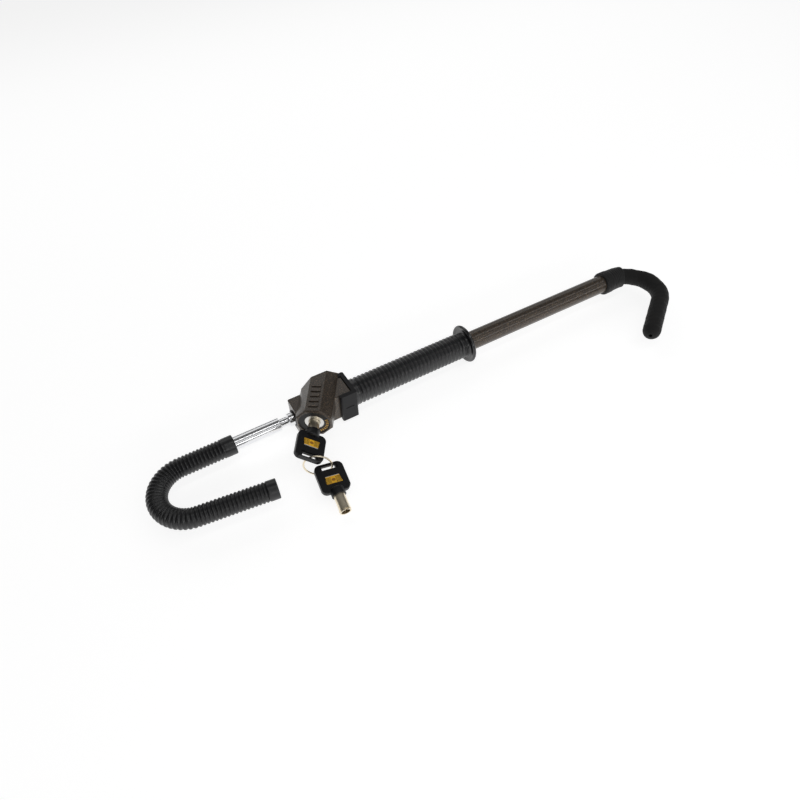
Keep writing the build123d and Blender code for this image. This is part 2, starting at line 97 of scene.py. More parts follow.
def spare_axes():
    """The spare key hangs on the ring and rests its shank on the table."""
    head, pitch, lean = (math.radians(a) for a in (7.0, 10.4, 10.0))
    along = Vector((math.sin(head) * math.cos(pitch), math.cos(head) * math.cos(pitch), math.sin(pitch)))
    flat = Vector((-math.cos(head), math.sin(head), 0))
    across = flat * math.cos(lean) + along.cross(flat) * math.sin(lean)
    hang = Vector(joint("spare_key_swing")["pos_m"])
    return Axes(hang + across * 3.7 * MM - along * SLOT_FROM_TIP, across, along)


spare = spare_axes()
print("rod axis height", round(rod_z, 4), "barrel at", tuple(round(v, 4) for v in barrel.origin))

# %% [markdown]
# ## Camera, light and table
# A long thin object lies across the picture, so the camera looks down from the front left,
# with a little roll. The table is a plain pale plane; it glows a little, so that it stays
# pale and keeps only a faint shadow.
# Long narrow lamps run beside the lock, so that every rib catches a highlight, and a wide dim
# one behind it gives the chrome its grey upper band. The world is dark, which keeps black black.

# %% Camera
camera_data = bpy.data.cameras.new("camera")
camera_data.lens = 28.78
camera_data.sensor_width = 36.0
camera = bpy.data.objects.new("camera", camera_data)
bpy.context.collection.objects.link(camera)
camera.matrix_world = (
    Matrix.Translation(Vector((-0.1270, -0.3818, 0.4434)) + Vector((barrel.origin.x, rod_y, rod_z)))
    @ Matrix.Rotation(math.radians(-29.16), 4, "Z")
    @ Matrix.Rotation(math.radians(90 - 47.9), 4, "X")
    @ Matrix.Rotation(math.radians(-1.87), 4, "Z")
)
bpy.context.scene.camera = camera
bpy.context.scene.view_settings.view_transform = "Standard"
print("camera", camera_data.lens, "mm")

# %% Lamps, world and table
def soft_lamp(name, place, target, size, power, tint=(1, 1, 1)):
    """A rectangular area lamp that faces a target."""
    data = bpy.data.lights.new(name, "AREA")
    data.shape, data.size, data.size_y = "RECTANGLE", size[0], size[1]
    data.energy, data.color = power, tint
    lamp = bpy.data.objects.new(name, data)
    bpy.context.collection.objects.link(lamp)
    way = (Vector(target) - Vector(place)).normalized()
    lamp.matrix_world = Matrix.Translation(place) @ way.to_track_quat("-Z", "Y").to_matrix().to_4x4()
    return lamp


LAMP_X = 0.30               # the lamps are centred a little to the right of the lock's middle
soft_lamp("front_box", (LAMP_X, -0.75, 0.85), (LAMP_X, 0, 0), (2.0, 0.30), 1.6)
soft_lamp("low_strip", (LAMP_X, -1.0, 0.40), (LAMP_X, 0, 0), (2.0, 0.15), 3.6)
soft_lamp("high_strip", (LAMP_X, -0.22, 1.05), (LAMP_X, 0, 0), (2.0, 0.10), 2.4)
soft_lamp("back_window", (0.20, 0.95, 0.75), (0.20, 0, 0), (2.2, 0.7), 3.6)

world = bpy.data.worlds.new("studio")
world.use_nodes = True
sky = world.node_tree.nodes["Background"]
sky.inputs["Color"].default_value = (1, 1, 1, 1)
sky.inputs["Strength"].default_value = 0.10
bpy.context.scene.world = world

bpy.ops.mesh.primitive_plane_add(size=12)
table = bpy.context.object
table.name = "table"
table_paint = bpy.data.materials.new("table_white")
table_paint.use_nodes = True
shade = table_paint.node_tree.nodes["Principled BSDF"]
shade.inputs["Base Color"].default_value = (0.36, 0.36, 0.36, 1)
shade.inputs["Emission Color"].default_value = (1, 1, 1, 1)
shade.inputs["Emission Strength"].default_value = 0.84
shade.inputs["Roughness"].default_value = 0.8
shade.inputs["Specular IOR Level"].default_value = 0.1
table.data.materials.append(table_paint)
print("stage ready")

# %% [markdown]
# ## Nodes as expressions
# Shader and geometry trees both use Math nodes. Wrapping a socket in a small class with
# overloaded operators lets a pattern be written like a formula, and each operator adds its
# Math node. One method makes every other kind of node: it sets the node's settings first,
# then fills or links its sockets.

# %% Sockets in formulas
class Value:
    """An output socket that can be added, multiplied and compared."""

    def __init__(self, graph, socket):
        self.graph, self.socket = graph, socket

    def math(self, operation, *terms):
        inputs = dict(enumerate(terms))
        return self.graph.node("ShaderNodeMath", {"operation": operation}, inputs).out()

    def __add__(self, other): return self.math("ADD", self, other)
    def __radd__(self, other): return self.math("ADD", other, self)
    def __sub__(self, other): return self.math("SUBTRACT", self, other)
    def __rsub__(self, other): return self.math("SUBTRACT", other, self)
    def __mul__(self, other): return self.math("MULTIPLY", self, other)
    def __rmul__(self, other): return self.math("MULTIPLY", other, self)
    def __truediv__(self, other): return self.math("DIVIDE", self, other)
    def __pow__(self, other): return self.math("POWER", self, other)
    def __gt__(self, other): return self.math("GREATER_THAN", self, other)
    def __lt__(self, other): return self.math("LESS_THAN", self, other)
    def cos(self): return self.math("COSINE", self)
    def fract(self): return self.math("FRACT", self)
    def clamp01(self): return self.math("MINIMUM", self.math("MAXIMUM", self, 0.0), 1.0)


class Made:
    """A node just made; out() gives one of its outputs."""

    def __init__(self, graph, made):
        self.graph, self.made = graph, made

    def out(self, which=0):
        return Value(self.graph, self.made.outputs[which])


class Graph:
    """A node tree and the one method that adds nodes to it."""

    def __init__(self, tree):
        self.tree = tree

    def node(self, kind, settings=None, inputs=None):
        made = self.tree.nodes.new(kind)
        for name, value in (settings or {}).items():
            if name == "stops":
                ramp = made.color_ramp
                for k, (place, color) in enumerate(value):
                    stop = ramp.elements[k] if k < 2 else ramp.elements.new(place)
                    stop.position, stop.color = place, color
            else:
                setattr(made, name, value)
        for name, value in (inputs or {}).items():
            self.fill(made.inputs[name], value)
        return Made(self, made)

    def fill(self, socket, value):
        if isinstance(value, Value):
            self.tree.links.new(value.socket, socket)
        else:
            socket.default_value = value


print("formula helpers ready")

# %% [markdown]
# ## Finishes
# Each finish is a Principled shader with its constant values set on the sockets, and only
# colour, roughness, metalness and bump vary over the surface. Object coordinates are in
# metres, so a pattern's scale is a real size: a noise scale of 1000 has spots of about 1 mm.

# %% A finish and its patterns
class Finish(Graph):
    """A material with one Principled shader."""

    def __init__(self, name, **constants):
        self.material = bpy.data.materials.new(name)
        self.material.use_nodes = True
        super().__init__(self.material.node_tree)
        self.shader = self.tree.nodes["Principled BSDF"]
        for label, value in constants.items():
            self.shader.inputs[label.replace("_", " ")].default_value = value

    def place(self):
        return self.node("ShaderNodeTexCoord").out("Object")

    def noise(self, scale, detail=3.0, roughness=0.5, vector=None):
        inputs = {"Vector": vector or self.place(), "Scale": scale, "Detail": detail, "Roughness": roughness}
        return self.node("ShaderNodeTexNoise", None, inputs).out(0)

    def cells(self, scale, smooth=0.6):
        settings = {"feature": "SMOOTH_F1"}
        inputs = {"Vector": self.place(), "Scale": scale, "Smoothness": smooth}
        return self.node("ShaderNodeTexVoronoi", settings, inputs).out("Distance")

    def xyz(self, vector=None):
        split = self.node("ShaderNodeSeparateXYZ", None, {0: vector or self.place()})
        return split.out(0), split.out(1), split.out(2)

    def mix(self, amount, first, second):
        settings = {"data_type": "RGBA"}
        return self.node("ShaderNodeMix", settings, {0: amount, 6: first, 7: second}).out(2)

    def paint(self, color=None, roughness=None, metallic=None, coat=None):
        for label, value in (
            ("Base Color", color), ("Roughness", roughness), ("Metallic", metallic), ("Coat Weight", coat),
        ):
            if value is not None:
                self.fill(self.shader.inputs[label], value)
        return self

    def relief(self, height, depth, strength=1.0):
        inputs = {"Height": height, "Distance": depth, "Strength": strength}
        bump = self.node("ShaderNodeBump", None, inputs).out(0)
        self.fill(self.shader.inputs["Normal"], bump)
        return self


def tone(r, g, b):
    return (r, g, b, 1.0)


print("finish helper ready")

# %% [markdown]
# ### Bronze hammertone paint
# The head and the tube are sprayed with a paint that draws itself into shallow rounded
# cells as it dries. Smooth Voronoi distance gives the cells, a slow noise gives the change
# from brown to grey, and a fine noise cut off high up gives the pale flecks. The shader is
# part metallic, under a thin coat.

# %% Hammertone paint
def hammertone():
    f = Finish("bronze_hammertone", Metallic=0.45, Coat_Roughness=0.16, Coat_Weight=0.55)
    cells = f.cells(620.0, 0.8)
    cloud = f.noise(55.0, 2.0)
    fleck = ((f.noise(1300.0, 2.0) - 0.56) * 9.0).clamp01()
    brown, grey = tone(0.022, 0.015, 0.010), tone(0.062, 0.048, 0.036)
    color = f.mix(fleck * 0.55, f.mix(cells * 0.9 + cloud * 0.35, brown, grey), tone(0.34, 0.23, 0.13))
    f.paint(color, 0.34 + cells * 0.22 + f.noise(900.0) * 0.08)
    return f.relief(cells + f.noise(1500.0, 2.0) * 0.25, 0.00015, 0.75).material


# %% [markdown]
# ### Chrome, nickel, brass and steel
# Metals differ in colour, in roughness and in the direction of their fine scratches. The
# chrome rod is nearly a mirror with faint draw lines along it. The lock face was turned on a
# lathe, so its lines are rings about the barrel's axis.

# %% Metals
def metal(name, color, rough, line_scale=(60.0, 2200.0, 2200.0), wear=0.08, depth=0.00001):
    f = Finish(name, Metallic=1.0)
    stretched = f.node("ShaderNodeVectorMath", {"operation": "MULTIPLY"}, {0: f.place(), 1: line_scale}).out(0)
    lines = f.noise(1.0, 4.0, 0.6, stretched)
    smear = f.noise(70.0, 3.0)
    dull = tone(*(c * 0.86 for c in color))
    f.paint(f.mix(smear * 0.5, tone(*color), dull), rough + lines * wear * 0.5 + smear * wear)
    return f.relief(lines, depth, 0.5).material if depth else f.material


def turned_metal(name, color, rough, axes):
    """Rings left by a lathe, about the given axis."""
    f = Finish(name, Metallic=1.0)
    from_axis = f.node("ShaderNodeVectorMath", {"operation": "SUBTRACT"}, {0: f.place(), 1: axes.origin}).out(0)
    side = f.node("ShaderNodeVectorMath", {"operation": "CROSS_PRODUCT"}, {0: from_axis, 1: axes.z}).out(0)
    radius = f.node("ShaderNodeVectorMath", {"operation": "LENGTH"}, {0: side}).out("Value")
    inputs = {"W": radius, "Scale": 5200.0, "Detail": 2.0}
    rings = f.node("ShaderNodeTexNoise", {"noise_dimensions": "1D"}, inputs).out(0)
    f.paint(f.mix(rings * 0.5, tone(*color), tone(*(c * 0.82 for c in color))), rough + rings * 0.14)
    return f.relief(rings, 0.00002, 0.6).material


# %% [markdown]
# ### Rubber and plastic
# Black rubber is never quite black. It has a soft grain, a paler bloom where it is handled,
# and broad dull highlights. The grip's end flange is smoother than its ribs, so its gloss
# changes along X. The padded hook is a matt foam with fine pores, and browns where it creases.

# %% Rubber and plastic
def rubber(name, color, rough, grain, bloom, depth, sheen=0.0, shine=0.35):
    f = Finish(name, Sheen_Weight=sheen, Sheen_Roughness=0.5, Specular_IOR_Level=shine)
    dust = f.noise(45.0, 3.0)
    speck = f.noise(grain, 3.0, 0.6)
    pale = tone(*(c * 1.9 + 0.003 for c in color))
    f.paint(f.mix(dust * bloom, tone(*color), pale), rough + speck * 0.16 + dust * 0.08)
    return f.relief(speck, depth, 0.6).material


def grip_rubber(gloss_from):
    f = Finish("grip_rubber", Specular_IOR_Level=0.8)
    along, _, _ = f.xyz()
    glossy = (along > gloss_from) * 0.2
    speck = f.noise(1100.0, 3.0)
    dust = f.noise(60.0, 2.0)
    color = f.mix(dust * 0.4, tone(0.006, 0.006, 0.007), tone(0.016, 0.016, 0.018))
    f.paint(color, 0.27 + speck * 0.06 - glossy * 0.2)
    return f.material


def foam(crease):
    f = Finish("hook_foam", Sheen_Weight=0.05, Sheen_Roughness=0.5, Specular_IOR_Level=0.25)
    pores = f.noise(1900.0, 3.0, 0.7)
    dust = f.noise(38.0, 3.0)
    gap = f.node("ShaderNodeVectorMath", {"operation": "DISTANCE"}, {0: f.place(), 1: crease}).out("Value")
    worn = (1.0 - gap / 0.014).clamp01() * (f.noise(260.0, 4.0) * 1.3)
    base = f.mix(dust * 0.5, tone(0.008, 0.008, 0.008), tone(0.022, 0.021, 0.020))
    f.paint(f.mix(worn * 0.55, base, tone(0.085, 0.058, 0.042)), 0.66 + pores * 0.2)
    return f.relief(pores + f.noise(120.0, 2.0) * 0.6, 0.00012, 0.6).material


# %% Make the finishes
bronze = hammertone()
chrome = metal("chrome_plate", (0.90, 0.905, 0.92), 0.17, wear=0.04, depth=0)
nickel = metal("warm_nickel", (0.90, 0.80, 0.62), 0.24, (1500.0, 1500.0, 1500.0), depth=0.000003)
steel = metal("zinc_steel", (0.56, 0.57, 0.58), 0.36)
brass = turned_metal("turned_brass", (0.80, 0.66, 0.38), 0.24, barrel)
face_metal = turned_metal("satin_lock_face", (0.80, 0.79, 0.76), 0.26, barrel)
hose = rubber("hose_rubber", (0.006, 0.006, 0.007), 0.26, 1600.0, 0.3, 0.000015, shine=0.6)
flange_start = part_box("grip")[1][0] - 0.0052
grip_black = grip_rubber(flange_start)
collar_black = rubber("collar_rubber", (0.009, 0.009, 0.009), 0.50, 1300.0, 0.4, 0.0001, 0.05)
cap_plastic = rubber("cap_plastic", (0.007, 0.007, 0.008), 0.34, 900.0, 0.3, 0.00002, shine=0.25)
bow_plastic = rubber("bow_plastic", (0.005, 0.005, 0.006), 0.26, 700.0, 0.25, 0.00003)
dial_black = rubber("dial_black", (0.012, 0.012, 0.012), 0.35, 900.0, 0.2, 0.00002)
nylon = rubber("nylon", (0.62, 0.60, 0.55), 0.45, 600.0, 0.2, 0.00003)
print(len(bpy.data.materials), "finishes")

# %% [markdown]
# ## Dress the machined parts
# The cast head, the tube, the rod, the barrel and the keys already have their true shapes.
# They keep their meshes and only get a finish. Real edges are never perfectly sharp, so the
# cast and moulded parts also get a small live bevel; a weld before it joins the mesh's loose
# triangles, or the bevel would find no edges to round.

# %% Finish by slot, with soft edges on castings and mouldings
finish_of_slot = {
    "bronze_paint": bronze, "chrome": chrome, "black_plastic": cap_plastic, "bow_plastic": bow_plastic,
    "dial": dial_black, "lock_face": face_metal, "steel": steel, "nickel": nickel, "brass": brass,
    "nylon": nylon, "grip_rubber": grip_black, "cover_rubber": collar_black,
    "collar_rubber": collar_black, "sleeve_rubber": hose, "label": bow_plastic,
}
slot_of = {s["node"]: s["material_slot"] for s in frame["record"]["subparts"]}
for name, part in frame["nodes"].items():
    part.data.materials.clear()
    part.data.materials.append(finish_of_slot[slot_of[name]])


def soften(name, width, angle=35.0):
    """Live rounded edges on a part that keeps its mesh."""
    part = frame["nodes"][name]
    part.modifiers.new("weld", "WELD").merge_threshold = 0.00002
    bevel = part.modifiers.new("edges", "BEVEL")
    bevel.width, bevel.segments, bevel.limit_method = width, 3, "ANGLE"
    bevel.angle_limit = math.radians(angle)
    bevel.harden_normals = False
    bevel.use_clamp_overlap = True


soften("lock_housing", 0.0006)
soften("end_cap", 0.0005)
soften("key_bow", 0.0005)
soften("spare_key_bow", 0.0005)
print("dressed", len(frame["nodes"]), "parts")

# %% [markdown]
# ## Lines that the hooks follow
# Both hooks are a straight run, one round bend and a straight leg. A function of length
# gives the point and the direction anywhere on such a line, so the corrugated hose, the foam
# cover and the collar all follow exactly the bars inside them.

# %% The two hook lines
class HookLine:
    """A run along X, a round bend and a leg, all at the rod's height and opening to -Y."""

    def __init__(self, start_x, bend_x, radius, bend_degrees, leg, towards):
        self.start_x, self.bend_x, self.radius = start_x, bend_x, radius
        self.bend, self.leg, self.towards = math.radians(bend_degrees), leg, towards
        self.run = (bend_x - start_x) * towards
        self.length = self.run + self.radius * self.bend + leg

    def at(self, s):
        """Point, direction and outward side at length s from the start."""
        turn_by = min(max(s - self.run, 0) / self.radius, self.bend)
        beyond = s - self.run - self.radius * turn_by
        forward_x, outward = self.towards * math.cos(turn_by), math.cos(turn_by)
        direction = Vector((forward_x, -math.sin(turn_by), 0))
        side = Vector((self.towards * math.sin(turn_by), outward, 0))
        centre = Vector((self.bend_x, rod_y - self.radius, rod_z))
        return centre + side * self.radius + direction * beyond, direction, side


X0 = -115.85 * MM           # where the barrel's axis passes over the rod
pedal = HookLine(X0 - 83.2 * MM, X0 - 132.4 * MM, 27.7 * MM, 172.7, 67.7 * MM, -1)
wheel = HookLine(X0 + 344.6 * MM, X0 + 362.1 * MM, 29.6 * MM, 144.2, 53.3 * MM, 1)
print("hose length", round(pedal.length, 4), "foam line", round(wheel.length, 4))

# %% [markdown]
# ## Ribs with Geometry Nodes
# The hose and the grip are both tubes whose radius rises and falls at a steady pitch. A
# geometry tree suits them: it resamples a centre line, works out a radius from the length
# along it, and sweeps a circle. Its sizes are named inputs, so one tree makes both parts.
# Plain cuffs are left at the ends by fading the ribs out there.

# %% The ribbed tube tree
def ribbed_tree():
    tree = bpy.data.node_groups.new("ribbed_tube", "GeometryNodeTree")
    face = tree.interface
    face.new_socket("Line", in_out="INPUT", socket_type="NodeSocketGeometry")
    for label in ("Radius", "Pitch", "Depth", "Sharpness", "Start cuff", "End cuff", "Step", "Lip"):
        face.new_socket(label, in_out="INPUT", socket_type="NodeSocketFloat")
    face.new_socket("Finish", in_out="INPUT", socket_type="NodeSocketMaterial")
    face.new_socket("Tube", in_out="OUTPUT", socket_type="NodeSocketGeometry")
    g = Graph(tree)
    given = g.node("NodeGroupInput")
    radius, pitch, depth, sharp, cuff0, cuff1, step, lip = (
        given.out(k) for k in ("Radius", "Pitch", "Depth", "Sharpness", "Start cuff", "End cuff", "Step", "Lip")
    )
    inputs = {"Curve": given.out("Line"), "Length": step}
    line = g.node("GeometryNodeResampleCurve", {"mode": "LENGTH"}, inputs).out(0)
    along = g.node("GeometryNodeSplineParameter").out("Length")
    total = g.node("GeometryNodeSplineLength").out("Length")
    wave = (0.5 + 0.5 * ((along - cuff0) * (2 * math.pi) / pitch).cos()) ** sharp
    fade = pitch * 0.3
    ribs = ((along - cuff0) / fade).clamp01() * ((total - cuff1 - along) / fade).clamp01()
    edge = ((lip - along) / lip).clamp01() + ((lip - (total - along)) / lip).clamp01()
    shape = radius - depth * wave * ribs - edge ** 2.0 * lip
    sized = g.node("GeometryNodeSetCurveRadius", None, {"Curve": line, "Radius": shape}).out(0)
    ring = g.node("GeometryNodeCurvePrimitiveCircle", None, {"Resolution": 56, "Radius": 1.0}).out(0)
    swept = g.node("GeometryNodeCurveToMesh", None, {"Curve": sized, "Profile Curve": ring, "Fill Caps": True})
    if "Scale" in swept.made.inputs:
        g.fill(swept.made.inputs["Scale"], g.node("GeometryNodeInputRadius").out(0))
    real = g.node("GeometryNodeRealizeInstances", None, {0: swept.out(0)}).out(0)
    done = g.node("GeometryNodeSetMaterial", None, {"Geometry": real, "Material": given.out("Finish")}).out(0)
    g.node("NodeGroupOutput", None, {0: done})
    return tree


def run_tree(tree, base, values, name):
    """Apply a tree to an object and keep the result as a plain mesh."""
    grow = base.modifiers.new("grow", "NODES")
    grow.node_group = tree
    for item in tree.interface.items_tree:
        if item.item_type == "SOCKET" and item.in_out == "INPUT" and item.name in values:
            grow[item.identifier] = values[item.name]
    base.update_tag()
    evaluated = base.evaluated_get(bpy.context.evaluated_depsgraph_get())
    mesh = bpy.data.meshes.new_from_object(evaluated)
    base.modifiers.remove(grow)
    bpy.data.objects.remove(base)
    mesh.name = name
    return mesh


def line_object(points):
    """A polyline as a curve object, for a tree to work on."""
    curve = bpy.data.curves.new("line", "CURVE")
    curve.dimensions = "3D"
    spline = curve.splines.new("POLY")
    spline.points.add(len(points) - 1)
    for slot, point in zip(spline.points, points):
        slot.co = (*point, 1.0)
    made = bpy.data.objects.new("line", curve)
    bpy.context.collection.objects.link(made)
    return made


def outward(mesh, smooth_below=40.0):
    """Merge, close and face outwards; round shading except over sharp edges."""
    work = bmesh.new()
    work.from_mesh(mesh)
    bmesh.ops.remove_doubles(work, verts=work.verts, dist=1e-6)
    bmesh.ops.recalc_face_normals(work, faces=work.faces)
    for f in work.faces:
        f.smooth = True
    for e in work.edges:
        e.smooth = len(e.link_faces) == 2 and e.calc_face_angle(0) < math.radians(smooth_below)
    work.to_mesh(mesh)
    work.free()
    return mesh


def add_piece(name, mesh, body, replaces=(), finish=None):
    """Put a finished mesh in the scene, riding on its body."""
    made = bpy.data.objects.new(name, mesh)
    bpy.context.collection.objects.link(made)
    if finish:
        mesh.materials.clear()
        mesh.materials.append(finish)
    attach(made, body)
    if replaces:
        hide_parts(*replaces)
    print(name, len(mesh.polygons), "faces")
    return made


ribbed = ribbed_tree()

# %% [markdown]
# ## The corrugated hose on the pedal hook
# The hook's hose is a bellows tube: rounded ribs with narrow valleys, a plain cuff at each
# end. It rides on the rod, whose bar fills its bore.

# %% Pedal hook hose
hose_points = [pedal.at(pedal.length * k / 240)[0] for k in range(241)]
hose_mesh = run_tree(ribbed, line_object(hose_points), {
    "Radius": 8.9 * MM, "Pitch": 3.3 * MM, "Depth": 0.95 * MM, "Sharpness": 1.6,
    "Start cuff": 9.5 * MM, "End cuff": 8.5 * MM, "Step": 0.33 * MM, "Lip": 0.5 * MM, "Finish": hose,
}, "pedal_hose")
add_piece("pedal_hose", outward(hose_mesh), "shackle", ("pedal_hook_sleeve",))

# %% [markdown]
# ## The ribbed grip and its flange
# The grip uses the same tree on a straight line. Its flange is a lathe shape: a half outline
# spun about the tube. A moulded flange has a raised round rim and a dished face, so the
# outline goes up over the rim and down again. The rod's inner end slides through the tube
# under the grip, so the ribbed run is bored out. Both meshes become one moulded part.

# %% Grip and flange
def lathe(outline, centre, sides=96):
    """Spin an outline of (x, radius) about the X axis through centre, as a closed ring."""
    work = bmesh.new()
    rings = []
    for k in range(sides):
        a = 2 * math.pi * k / sides
        rings.append([
            work.verts.new((x, centre.y + r * math.cos(a), centre.z + r * math.sin(a))) for x, r in outline
        ])
    for k in range(sides):
        here, there = rings[k], rings[(k + 1) % sides]
        for j in range(len(outline)):
            n = (j + 1) % len(outline)
            work.faces.new((here[j], here[n], there[n], there[j]))
    mesh = bpy.data.meshes.new("lathe")
    work.to_mesh(mesh)
    work.free()
    return mesh


def bored(mesh, radius, centre):
    """Open the flat ends of a straight run along X and line it with a bore."""
    def bearing(v):
        return math.atan2(v.co.z - centre.z, v.co.y - centre.y)

    work = bmesh.new()
    work.from_mesh(mesh)
    bmesh.ops.remove_doubles(work, verts=work.verts, dist=1e-6)
    caps = [f for f in work.faces if len(f.verts) > 8]
    rims = [sorted(f.verts, key=bearing) for f in caps]
    bmesh.ops.delete(work, geom=caps, context="FACES_ONLY")
    walls = []
    for rim in rims:
        wall = []
        for v in rim:
            y, z = math.cos(bearing(v)), math.sin(bearing(v))
            wall.append(work.verts.new((v.co.x, centre.y + radius * y, centre.z + radius * z)))
        walls.append(wall)
    for first, second in ((rims[0], walls[0]), (walls[0], walls[1]), (walls[1], rims[1])):
        for k in range(len(first)):
            n = (k + 1) % len(first)
            work.faces.new((first[k], first[n], second[n], second[k]))
    made = bpy.data.meshes.new("bored")
    work.to_mesh(made)
    work.free()
    return made


def join(name, *meshes):
    work = bmesh.new()
    for mesh in meshes:
        work.from_mesh(mesh)
    made = bpy.data.meshes.new(name)
    work.to_mesh(made)
    work.free()
    return made


def arc(cx, cr, radius, start, end, steps):
    """Part of a circle in an outline, angles in degrees from +X towards larger radius."""
    angles = [math.radians(start + (end - start) * k / steps) for k in range(steps + 1)]
    return [(cx + radius * math.cos(a), cr + radius * math.sin(a)) for a in angles]


grip_lo, grip_hi = (Vector(c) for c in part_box("grip"))
flange_x = grip_hi.x - 4.4 * MM
ribs_end = flange_x - 4.6 * MM
grip_line = [Vector((grip_lo.x + (ribs_end - grip_lo.x) * k / 8, rod_y, rod_z)) for k in range(9)]
ribs_mesh = run_tree(ribbed, line_object(grip_line), {
    "Radius": 13.0 * MM, "Pitch": 4.2 * MM, "Depth": 1.4 * MM, "Sharpness": 1.5,
    "Start cuff": 2.6 * MM, "End cuff": 1.5 * MM, "Step": 0.42 * MM, "Lip": 0.5 * MM, "Finish": grip_black,
}, "grip_ribs")
bore_r = 9.3 * MM
ribs_mesh = bored(ribs_mesh, bore_r, Vector((0, rod_y, rod_z)))
rim_r = 19.5 * MM
outline = [(ribs_end - 1.0 * MM, bore_r), (ribs_end - 1.0 * MM, 11.9 * MM)]
for k in range(2):
    outline += arc(ribs_end + (1.0 + 2.0 * k) * MM, 11.9 * MM, 0.8 * MM, 180, 0, 6)
outline += [(flange_x - 0.4 * MM, 11.9 * MM), (flange_x + 0.9 * MM, 12.6 * MM)]
outline += [(flange_x + 1.3 * MM, 14.0 * MM), (flange_x + 1.1 * MM, 16.0 * MM)]
outline += arc(flange_x + 1.9 * MM, rim_r - 1.8 * MM, 1.8 * MM, 170, 20, 12)
outline += [(grip_hi.x - 0.4 * MM, rim_r - 3.6 * MM), (grip_hi.x - 1.3 * MM, rim_r - 5.0 * MM)]
outline += [(grip_hi.x - 1.4 * MM, 12.4 * MM), (grip_hi.x - 0.3 * MM, 11.6 * MM)]
outline += [(grip_hi.x, 11.0 * MM), (grip_hi.x, bore_r)]
flange_mesh = lathe(outline, Vector((0, rod_y, rod_z)))
grip_mesh = outward(join("ribbed_grip", ribs_mesh, flange_mesh), 55.0)
add_piece("ribbed_grip", grip_mesh, "head", ("grip",), grip_black)

# %% [markdown]
# ## The foam cover and the collar of the wheel hook
# These two are sleeves whose radius follows a list of places along the hook line. A list may
# also turn back on itself: the vent in the round tip is simply an outline that dives back
# inside. The foam was pulled round a tight bend, so its outer side dips and then swells.

# %% Sleeves along a hook line
def sleeve(line, outline, sides=72, swell=None):
    """Sweep rings of (length, radius) along a line; the first and last rings are closed."""
    work = bmesh.new()
    rings = []
    for s, r in outline:
        point, direction, side = line.at(min(s, line.length))
        point = point + direction * max(s - line.length, 0)
        ring = []
        for k in range(sides):
            a = 2 * math.pi * k / sides
            grow = swell(s, a) if swell else 1.0
            spoke = side * math.cos(a) + Vector((0, 0, 1)) * math.sin(a)
            ring.append(work.verts.new(point + spoke * r * grow))
        rings.append(ring)
    for here, there in zip(rings, rings[1:]):
        for k in range(sides):
            n = (k + 1) % sides
            work.faces.new((here[k], here[n], there[n], there[k]))
    work.faces.new(rings[0])
    work.faces.new(rings[-1])
    mesh = bpy.data.meshes.new("sleeve")
    work.to_mesh(mesh)
    work.free()
    return mesh


def hump(s, centre, width):
    """A smooth bump of height 1."""
    return math.exp(-(((s - centre) / width) ** 2))


foam_r = 9.0 * MM
bend_at = wheel.run
dip = bend_at + wheel.radius * math.radians(52)
bulge = bend_at + wheel.radius * math.radians(78)


def foam_swell(s, a):
    outer = max(math.cos(a), 0.0)
    inner = max(-math.cos(a), 0.0)
    wrinkle = 0.012 * math.sin(s * 2100) * inner * hump(s, bend_at + 24 * MM, 14 * MM)
    flat = -0.19 * outer * hump(s, dip, 4.5 * MM) + 0.08 * outer * hump(s, bulge, 6 * MM)
    neck = -0.05 * hump(s, collar_end + 5 * MM, 5 * MM)
    pinch = -0.05 * inner * hump(s, dip + 4 * MM, 4 * MM)
    lumpy = 0.010 * math.sin(s * 410 + 2 * a) + 0.007 * math.sin(s * 930 - 3 * a)
    return 1.0 + flat + neck + pinch + lumpy + wrinkle


collar_end = wheel.run + wheel.radius * math.radians(20)
foam_start = 10.0 * MM
foam_outline = [(foam_start + (wheel.length - foam_start) * k / 150, foam_r) for k in range(151)]
foam_outline += [
    (wheel.length + foam_r * math.sin(a), foam_r * math.cos(a))
    for a in (math.radians(4 * k) for k in range(1, 20))
]
tip_s = wheel.length + foam_r
foam_outline += [(tip_s - 0.15 * MM, 1.9 * MM), (tip_s - 0.5 * MM, 1.65 * MM), (tip_s - 4.0 * MM, 1.6 * MM)]
crease_point, _, crease_side = wheel.at(dip)
foam_black = foam(tuple(crease_point + crease_side * foam_r))
foam_mesh = outward(sleeve(wheel, foam_outline, 72, foam_swell), 50.0)
add_piece("hook_foam", foam_mesh, "head", ("hook_cover",), foam_black)

# %% Collar between tube and hook
tier = 9.5 * MM
collar_outline = [(0.0, 9.6 * MM), (0.0, 11.5 * MM), (0.35 * MM, 12.1 * MM), (1.0 * MM, 12.35 * MM)]
for k in range(1, 90):
    s = 1.0 * MM + (collar_end - 2.6 * MM) * k / 90
    step_down = 0.45 * MM / (1.0 + math.exp((tier - s) / (0.3 * MM)))
    ridge = 0.20 * MM * (0.5 - 0.5 * math.cos(2 * math.pi * (s - tier) / (2.7 * MM))) if s > tier else 0.0
    groove = 0.30 * MM * hump(s, 3.2 * MM, 0.5 * MM)
    collar_outline.append((s, (12.35 - 0.55 * (k / 90) ** 2) * MM - step_down - ridge - groove))
collar_outline += [(collar_end - 1.1 * MM, 11.3 * MM), (collar_end - 0.4 * MM, 10.9 * MM)]
collar_outline += [(collar_end, 10.2 * MM), (collar_end, 8.9 * MM)]
collar_mesh = outward(sleeve(wheel, collar_outline), 45.0)
add_piece("hook_collar_moulding", collar_mesh, "head", ("hook_collar",), collar_black)

# %% [markdown]
# ## Key labels and the split ring
# A label is a thin plate let into the bow, printed with plain stripes. The print is a
# pattern on the plate's own UV map, so it follows the key. The split ring is what it really
# is: two turns of spring wire lying side by side, swept from a flat spiral.

